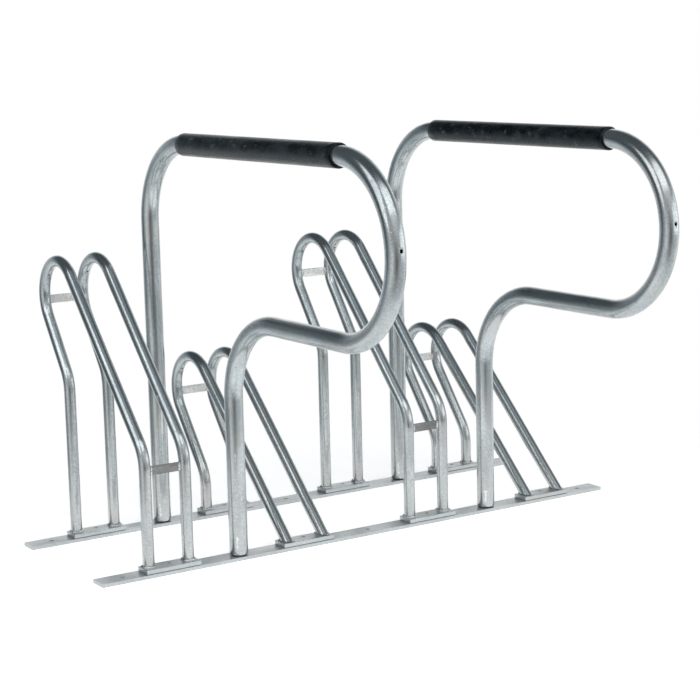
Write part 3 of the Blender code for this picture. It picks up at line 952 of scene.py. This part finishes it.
def build_rails():
    """Two equal rails with anchor holes and the seats of all screws."""
    low, high = RAIL_BOXES["front"]
    size = high - low
    anchor = hole_mesh(ANCHOR_HOLE_RADIUS, size.z)
    seat = seat_mesh(size.z)
    reach = size.x / 2 - ANCHOR_HOLE_INSET
    cutters = [shifted(anchor, x) for x in (-reach, 0.0, reach)]
    for number in PLACES:
        cutters.append(shifted(seat, node_x(f"foot_plate_{number}_front"), FOOT_SETBACK))
    cutters += [shifted(seat, node_x(f"lean_loop_{number}")) for number in LEANS]
    rail = flat_bar_mesh("rail", size, BAR_ROUNDING, cutters)
    for end, (low, high) in RAIL_BOXES.items():
        mesh = shifted(rail, *((low + high) / 2))
        add_piece(f"rail_{end}_bar", mesh, MATERIALS["flat"], [f"rail_{end}"])


def build_plates(number):
    """The two foot plates of a place, each with its threaded hole."""
    for end in ENDS:
        node = f"foot_plate_{number}_{end}"
        low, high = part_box(node)
        size = high - low
        hole = hole_mesh(PLATE_HOLE_RADIUS, size.z)
        hole.transform(Matrix.Translation((0.0, FOOT_SETBACK, 0.0)))
        mesh = flat_bar_mesh(node + "_bar", size, PLATE_ROUNDING, [hole])
        mesh.transform(Matrix.Translation((low + high) / 2))
        add_piece(node + "_bar", mesh, MATERIALS["flat"], [node])


# The beads of a cross bar: how far they stay within its ends, stand off its faces and reach
# past its width
BEAD_INSET = 0.0005
BEAD_GAP = 0.0002
BEAD_LENGTH = BAR_WIDTH * 1.02


def build_cross_bar(number, level):
    """A flat bar between two hoops, with a lumpy bead on each face at each end."""
    node = f"cross_bar_{number}_{level}"
    low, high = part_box(node)
    x = (low.x + high.x) / 2
    if level == "upper":
        angle = UPPER_BAR_ANGLE
        centre = row_point(x, hoop_loop(is_tall(number)) + direction(angle) * LOOP_RADIUS)
    else:
        angle = 0.0
        centre = row_point(x, (FOOT_SETBACK, LOWER_BAR_HEIGHT))
    length = high.x - low.x
    size = (length, BAR_WIDTH, BAR_THICKNESS)
    mesh = flat_bar_mesh(node + "_bar", size, BAR_ROUNDING, [])
    mesh.transform(Matrix.Translation(centre) @ Matrix.Rotation(angle + math.pi / 2, 4, "X"))
    add_piece(node + "_bar", mesh, MATERIALS[level + "_bar"], [node])
    face = Vector((0.0, math.cos(angle), math.sin(angle)))
    upward = Vector((0.0, -math.sin(angle), math.cos(angle)))
    sideways = Vector((1.0, 0.0, 0.0))
    beads = []
    for side in (-1.0, 1.0):
        for facing in (-1.0, 1.0):
            spot = centre + sideways * side * (length / 2 - BEAD_INSET)
            spot += face * facing * (BAR_THICKNESS / 2 + BEAD_GAP)
            seed = number * 11 + side * 3 + facing
            beads.append(bar_bead_mesh(spot, upward, face, sideways, BEAD_LENGTH, seed))
    add_piece(f"weld_{node}", joined_mesh("beads", beads), MATERIALS["weld"])


SLEEVE_CLEARANCE = 0.0002
SLEEVE_SOFT = 0.0009
SLEEVE_CORNER = SLEEVE_SOFT * 0.3
SLEEVE_FLARE = 0.0010
SLEEVE_FLARE_LENGTH = 0.004
SLEEVE_ROWS = 40
SLEEVE_SLACK = 0.0001
SLEEVE_WAVE = 0.00012
SLEEVE_WAVE_SCALE = 22.0


def build_sleeve(number):
    """The grip sleeve, a little wavy along its length, with soft ends and a flared bore."""
    node = f"lean_sleeve_{number}"
    low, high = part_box(node)
    centre = (low + high) / 2
    half = (high.y - low.y) / 2
    outside = (high.x - low.x) / 2
    bore = LEAN_RADIUS + SLEEVE_CLEARANCE
    flare = bore + SLEEVE_FLARE
    soft, corner = SLEEVE_SOFT, SLEEVE_CORNER
    rows = [(flare, -half), (outside - soft, -half), (outside - corner, -half + corner)]
    rows.append((outside, -half + soft))
    for step in range(1, SLEEVE_ROWS):
        place = -half + soft + (2 * half - 2 * soft) * step / SLEEVE_ROWS
        wander = noise.noise(Vector((place * SLEEVE_WAVE_SCALE, number * 5.0, 0.0)))
        rows.append((outside - SLEEVE_SLACK + SLEEVE_WAVE * wander, place))
    rows += [(outside, half - soft), (outside - corner, half - corner), (outside - soft, half)]
    rows += [(flare, half), (bore, half - SLEEVE_FLARE_LENGTH), (bore, -half + SLEEVE_FLARE_LENGTH)]
    mesh = revolved_mesh(node + "_skin", rows, SLEEVE_SIDES)
    mesh.transform(Matrix.Translation(centre) @ Matrix.Rotation(math.pi / 2, 4, "X"))
    add_piece(node + "_skin", mesh, MATERIALS["sleeve"], [node])


SCREW_SHANK = 0.0040
SCREW_HEAD = 0.0075
SCREW_RECESS = 0.0005
SCREW_RIM = 0.0006
SCREW_TIP = 0.0008
SOCKET_SIDES = 6
SOCKET_RADIUS = 0.0029
SOCKET_DEPTH = 0.0030
THREAD_PITCH = 0.00125
THREAD_DEPTH = 0.0006
THREAD_END = 0.001


def screw_mesh(top):
    """A countersunk socket screw, its head down, with a ringed thread up to a given height."""
    cone_top = SCREW_RECESS + SCREW_RIM + SCREW_HEAD - SCREW_SHANK
    profile = [(0.0, SCREW_RECESS), (SCREW_HEAD, SCREW_RECESS)]
    profile += [(SCREW_HEAD, SCREW_RECESS + SCREW_RIM), (SCREW_SHANK, cone_top)]
    turns = int((top - cone_top - THREAD_END) / THREAD_PITCH)
    for turn in range(turns):
        foot = cone_top + THREAD_PITCH * turn
        profile.append((SCREW_SHANK - THREAD_DEPTH, foot + THREAD_PITCH * 0.5))
        profile.append((SCREW_SHANK, foot + THREAD_PITCH))
    profile += [(SCREW_SHANK - SCREW_TIP, top), (0.0, top)]
    body = revolved_mesh("screw", profile, ROUND_SIDES)
    low, high = SCREW_RECESS - OVERSHOOT, SCREW_RECESS + SOCKET_DEPTH
    mesh = cut_mesh(body, [pin_mesh(SOCKET_RADIUS, low, high, SOCKET_SIDES)])
    mesh.shade_smooth()
    mesh.set_sharp_from_angle(angle=SMOOTH_ANGLE)
    return mesh


def build_screws():
    """The screws of all plates and plugs, each up to the height of its CAD node."""
    stems = [f"plate_screw_{number}" for number in PLACES]
    stems += [f"lean_screw_{number}" for number in LEANS]
    for node in [f"{stem}_{end}" for stem in stems for end in ENDS]:
        low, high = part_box(node)
        mesh = screw_mesh(high.z)
        mesh.transform(Matrix.Translation(((low.x + high.x) / 2, (low.y + high.y) / 2, 0.0)))
        add_piece(node + "_fine", mesh, MATERIALS["screw"], [node])


PLUG_CLEARANCE = 0.0003
PLUG_FOOT_EDGE = 0.0006
PLUG_TOP_EDGE = 0.0012


def build_plugs(number):
    """The two foot plugs of a lean-on loop."""
    for end in ENDS:
        node = f"lean_plug_{number}_{end}"
        low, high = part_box(node)
        centre = (low + high) / 2
        outside = (high.x - low.x) / 2
        bore = SCREW_SHANK + PLUG_CLEARANCE
        profile = [
            (bore, low.z), (outside - PLUG_FOOT_EDGE, low.z), (outside, low.z + PLUG_FOOT_EDGE),
            (outside, high.z - PLUG_TOP_EDGE), (outside - PLUG_TOP_EDGE, high.z), (bore, high.z),
        ]
        mesh = revolved_mesh(node + "_turned", profile, ROUND_SIDES)
        mesh.transform(Matrix.Translation((centre.x, centre.y, 0.0)))
        add_piece(node + "_turned", mesh, MATERIALS["plug"], [node])


# Scattered zinc runs: how many a tube has, and between which shares of it, lengths and widths
HOOP_RUN_COUNT = 5
HOOP_RUN_RANGES = ((0.05, 0.95), (0.006, 0.020), (0.0022, 0.0042))
LEAN_RUN_COUNT = 7
LEAN_RUN_RANGES = ((0.06, 0.94), (0.008, 0.024), (0.0025, 0.0050))
RUN_THICKNESS = 0.0005
# Where the numbers of the random draws start, so that no two tubes get the same runs
HOOP_DRAWS = 100
LEAN_DRAWS = 300


def scattered_runs(route, radius, x, generator, count, ranges, seed):
    """Small frozen tears at random places along a tube and round it."""
    shares, lengths, widths = ranges
    runs = []
    for index in range(count):
        place = route["lengths"][-1] * generator.uniform(*shares)
        turn = generator.uniform(0.0, 2 * math.pi)
        length = generator.uniform(*lengths)
        width = generator.uniform(*widths)
        size = (length, width, RUN_THICKNESS)
        runs.append(raised_streak_mesh(route, radius, x, place, turn, *size, seed + index))
    return runs


def build_hoop_runs(number, side):
    """Small frozen tears scattered over a hoop."""
    x = node_x(f"hoop_{number}_{side}")
    route = hoop_route(is_tall(number))
    seed = number * 2 + (side == "left")
    generator = np.random.default_rng(HOOP_DRAWS + seed)
    runs = scattered_runs(route, HOOP_RADIUS, x, generator, HOOP_RUN_COUNT, HOOP_RUN_RANGES, seed)
    add_piece(f"zinc_runs_hoop_{number}_{side}", joined_mesh("runs", runs), MATERIALS["run"])


# Painted highlight: a raised pale streak above each lean-on foot stands for a bright reflection
# there; its height, size and turns round the tube
FOOT_HIGHLIGHT_HEIGHT = 0.030
FOOT_HIGHLIGHT_SIZE = (0.036, 0.0120, 0.0009)
REAR_HIGHLIGHT_TURN = math.radians(130.0)
FRONT_HIGHLIGHT_TURN = math.radians(232.0)


def build_lean_runs_and_foot_highlights(number):
    """A raised pale streak above each foot of a lean-on loop, a painted highlight, and a few zinc
    runs scattered over it.
    """
    x = node_x(f"lean_loop_{number}")
    route = lean_route()
    total = route["lengths"][-1]
    feet = ((FOOT_HIGHLIGHT_HEIGHT, REAR_HIGHLIGHT_TURN, 1.0), (total - FOOT_HIGHLIGHT_HEIGHT, FRONT_HIGHLIGHT_TURN, 2.0))
    runs = []
    for place, turn, seed in feet:
        runs.append(raised_streak_mesh(route, LEAN_RADIUS, x, place, turn, *FOOT_HIGHLIGHT_SIZE, seed))
    generator = np.random.default_rng(LEAN_DRAWS + number)
    seed = total / 2
    runs += scattered_runs(route, LEAN_RADIUS, x, generator, LEAN_RUN_COUNT, LEAN_RUN_RANGES, seed)
    add_piece(f"zinc_runs_and_foot_highlights_lean_{number}", joined_mesh("runs", runs), MATERIALS["run"])


def build_rack():
    """All pieces of the rack."""
    build_rails()
    for number in PLACES:
        build_plates(number)
        build_cross_bar(number, "upper")
        if is_tall(number):
            build_cross_bar(number, "lower")
        for side in ("left", "right"):
            build_hoop(number, side)
            build_hoop_welds(number, side)
            build_hoop_runs(number, side)
    for number in LEANS:
        build_lean_loop(number)
        build_sleeve(number)
        build_plugs(number)
        build_lean_runs_and_foot_highlights(number)
    build_screws()


# Studio

FLOOR_RADIUS = 2.0
FLOOR_SIDES = 96
FLOOR_FADE = (0.85, 1.5)
FLOOR_HEIGHT = -0.0004
FLOOR_GLOW = 0.61
FLOOR_COLOR = (0.95, 0.95, 0.95, 1.0)
FLOOR_ROUGHNESS = 0.9


def build_floor():
    """A pale round floor that shows white with the rack's soft shadow. Its rim fades out."""
    bm = bmesh.new()
    bmesh.ops.create_circle(bm, cap_ends=True, segments=FLOOR_SIDES, radius=FLOOR_RADIUS)
    mesh = finished_mesh(bm, "floor")
    floor = add_object("floor", mesh)
    floor.location.z = FLOOR_HEIGHT
    material, tree, shader = new_material("floor_white")
    path = add_node(tree, "ShaderNodeLightPath")
    seen = math_node(tree, "ADD", path.outputs["Is Camera Ray"], path.outputs["Is Glossy Ray"])
    seen = math_node(tree, "ADD", seen, path.outputs["Is Transmission Ray"])
    reach = add_node(tree, "ShaderNodeVectorMath", {0: object_places(tree)}, operation="LENGTH")
    feed(tree, shader, {
        "Base Color": FLOOR_COLOR,
        "Roughness": FLOOR_ROUGHNESS,
        "Specular IOR Level": 0.0,
        "Emission Color": (1.0, 1.0, 1.0, 1.0),
        "Emission Strength": math_node(tree, "MULTIPLY", seen, FLOOR_GLOW),
        "Alpha": remap(tree, reach.outputs["Value"], *FLOOR_FADE, 1.0, 0.0),
    })
    mesh.materials.append(material)


# The surround: its plain level and limits, and soft patches given by bearing and rise in
# degrees, sharpness and amount
SURROUND_LEVEL = 0.70
SURROUND_LIMITS = (0.07, 1.0)
SURROUND_SPOTS = {
    "dark ceiling": (3.0, 55.0, 1.4, -1.42),
    "dark right": (96.0, 40.0, 10.0, -0.52),
    "dark front": (-158.0, -10.0, 10.0, -0.60),
    "dark left": (-50.0, 2.0, 14.0, -0.46),
    "glow front": (-172.0, 42.0, 5.0, 0.42),
    "glow left": (-106.0, -6.0, 16.0, 0.32),
    "dark side": (138.0, -8.0, 5.0, -0.28),
    "dark band": (5.0, 36.0, 14.0, -0.22),
    "glow behind": (45.0, 0.0, 1.2, 1.20),
    "glow view": (33.0, -10.0, 8.0, 0.90),
}
DARK_TINT = (0.82, 1.0, 1.12)
PLAIN_TINT = (1.0, 1.0, 1.0)
WARM_TINT = (1.09, 1.0, 0.93)
WARM_SIDE = (-150.0, -5.0, 5.0, 0.9)


def toward(yaw, pitch):
    """The direction at a yaw from +Y towards +X and a pitch up from level."""
    return (math.sin(yaw) * math.cos(pitch), math.cos(yaw) * math.cos(pitch), math.sin(pitch))


def soft_spot(tree, around, bearing, rise, sharpness, amount):
    """A soft round patch of the surround, lighter or with a negative amount darker."""
    middle = toward(math.radians(bearing), math.radians(rise))
    near = add_node(tree, "ShaderNodeVectorMath", {0: around, 1: middle}, operation="DOT_PRODUCT")
    away = math_node(tree, "SUBTRACT", near.outputs["Value"], 1.0)
    power = math_node(tree, "MULTIPLY", away, sharpness)
    return math_node(tree, "MULTIPLY", math_node(tree, "EXPONENT", power, 0.0), amount)


def build_world():
    """A studio of soft dark and light patches, bluish where dark and warm at the camera."""
    world = bpy.data.worlds.new("studio")
    bpy.context.scene.world = world
    world.use_nodes = True
    tree = world.node_tree
    around = add_node(tree, "ShaderNodeTexCoord").outputs["Generated"]
    level = SURROUND_LEVEL
    for spot in SURROUND_SPOTS.values():
        level = math_node(tree, "ADD", soft_spot(tree, around, *spot), level)
    level = math_node(tree, "MAXIMUM", level, SURROUND_LIMITS[0])
    level = math_node(tree, "MINIMUM", level, SURROUND_LIMITS[1])
    tint = mix_color(tree, remap(tree, level, 0.1, 0.9), DARK_TINT, PLAIN_TINT)
    tint = mix_color(tree, soft_spot(tree, around, *WARM_SIDE), tint, WARM_TINT)
    dimmed = add_node(tree, "ShaderNodeVectorMath", {0: tint, "Scale": level}, operation="SCALE")
    feed(tree, tree.nodes["Background"], {"Color": dimmed.outputs["Vector"]})


RACK_MIDDLE = (0.0, 0.0, 0.5)


def add_softbox(name, bearing, distance, height, size, radiance):
    """A soft light at a bearing in degrees from the rack, turned to the rack's middle."""
    bearing = math.radians(bearing)
    lamp = bpy.data.lights.new(name, "AREA")
    lamp.shape = "RECTANGLE"
    lamp.size, lamp.size_y = size
    lamp.energy = radiance * size[0] * size[1] * math.pi
    item = add_object(name, lamp)
    place = Vector((math.sin(bearing) * distance, math.cos(bearing) * distance, height))
    item.location = place
    item.rotation_mode = "QUATERNION"
    item.rotation_quaternion = (Vector(RACK_MIDDLE) - place).to_track_quat("-Z", "Y")
    item.visible_camera = False


def build_lights():
    """Three large lamps at a plain level."""
    add_softbox("softbox_left", -98.0, distance=2.2, height=2.00, size=(1.6, 1.9), radiance=1.4)
    add_softbox("softbox_top", 180.0, distance=1.7, height=2.60, size=(3.0, 1.3), radiance=1.25)
    add_softbox("softbox_right", 138.0, distance=2.4, height=0.95, size=(2.4, 1.0), radiance=0.85)


def build_camera():
    """The photograph's camera, turned by its yaw, then its pitch, then its roll."""
    roll = CAMERA_ROLL
    ahead = Vector(toward(CAMERA_YAW, CAMERA_PITCH))
    level = Vector((math.cos(CAMERA_YAW), -math.sin(CAMERA_YAW), 0.0))
    above = level.cross(ahead)
    right = level * math.cos(roll) + above * math.sin(roll)
    up = above * math.cos(roll) - level * math.sin(roll)
    lens = bpy.data.cameras.new("camera")
    lens.sensor_width = SENSOR_WIDTH
    lens.lens = FOCAL_PIXELS / IMAGE_SIDE * SENSOR_WIDTH
    camera = add_object("camera", lens)
    turn = Matrix((right, up, -ahead)).transposed().to_4x4()
    camera.matrix_world = Matrix.Translation(CAMERA_PLACE) @ turn
    bpy.context.scene.camera = camera


build_rack()
build_floor()
build_world()
build_lights()
build_camera()
bpy.context.scene.view_settings.view_transform = "Standard"
bpy.context.view_layer.update()
